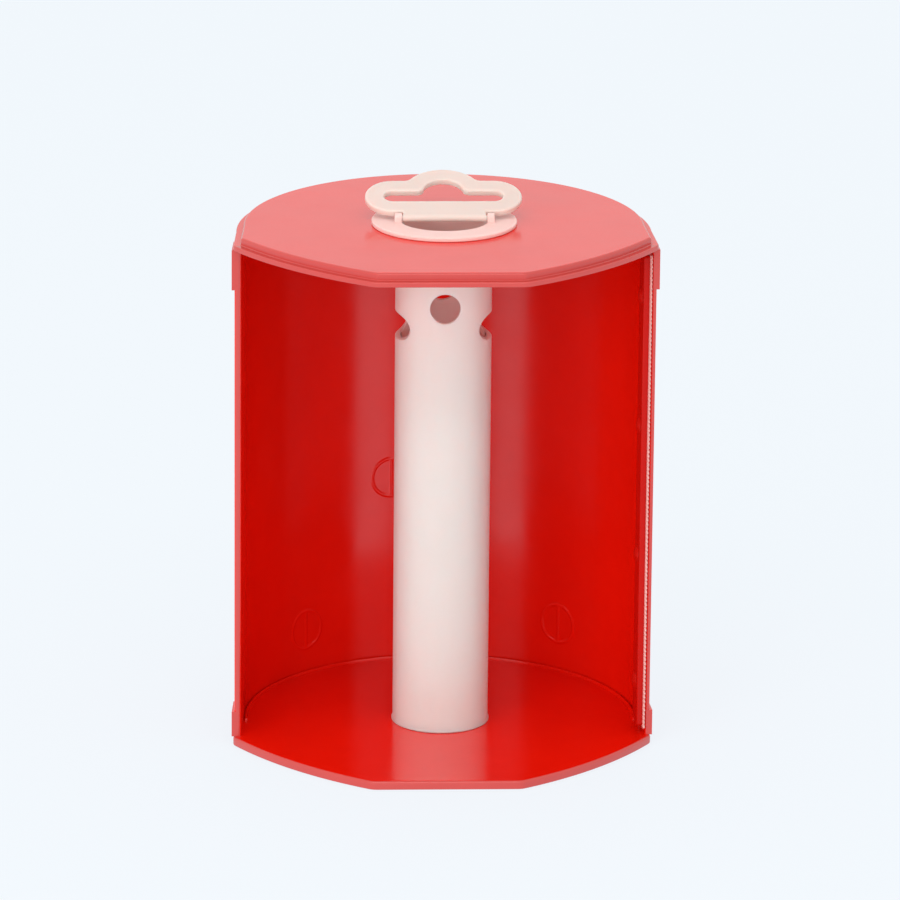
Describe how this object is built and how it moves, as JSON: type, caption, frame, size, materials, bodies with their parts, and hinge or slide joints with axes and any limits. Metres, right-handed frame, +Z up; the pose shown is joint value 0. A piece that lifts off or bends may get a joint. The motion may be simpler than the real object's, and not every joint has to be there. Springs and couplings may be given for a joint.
{
  "type": "roll dispenser case with spindle",
  "caption": "D-shaped roll holder, open at the front, with a lift-out hollow spindle, a folding slotted hanger and a serrated cutter along one edge.",
  "frame": {"origin": "on the spindle's axis, at the flat underside of the base", "axes": "+Z up along the spindle, +Y towards the rounded back, -Y out of the open front, +X towards the side with the cutter"},
  "size_m": [0.1144, 0.1081, 0.1528],
  "materials": {
    "red_case": "semi-gloss moulded red polypropylene",
    "natural_plastic": "milky uncoloured polyethylene, slightly see-through, soft sheen",
    "blade_steel": "thin bright steel strip, toothed front edge",
    "red_strip": "semi-gloss moulded red polypropylene"
  },
  "bodies": {
    "case": {"back_wall": "red_case", "top_plate": "red_case", "bottom_plate": "red_case", "cutter_blade": "blade_steel", "blade_retainer": "red_strip", "blade_rivets": "red_strip"},
    "collar": {"hanger_collar": "natural_plastic"},
    "tube": {"spindle_tube": "natural_plastic"},
    "hanger": {"hanger_tab": "natural_plastic"}
  },
  "joints": [
    {"name": "spindle_lift", "type": "slide", "parent": "case", "child": "collar", "axis": [0, 0, 1], "range_m": [0, 0.15]},
    {"name": "tube_spin", "type": "hinge", "parent": "collar", "child": "tube", "pos_m": [0, 0, 0.07], "axis": [0, 0, 1], "continuous": true},
    {"name": "hanger_fold", "type": "hinge", "parent": "collar", "child": "hanger", "pos_m": [0, -0.0026, 0.1447], "axis": [1, 0, 0], "range_deg": [-18.5, 160.5]}
  ]
}
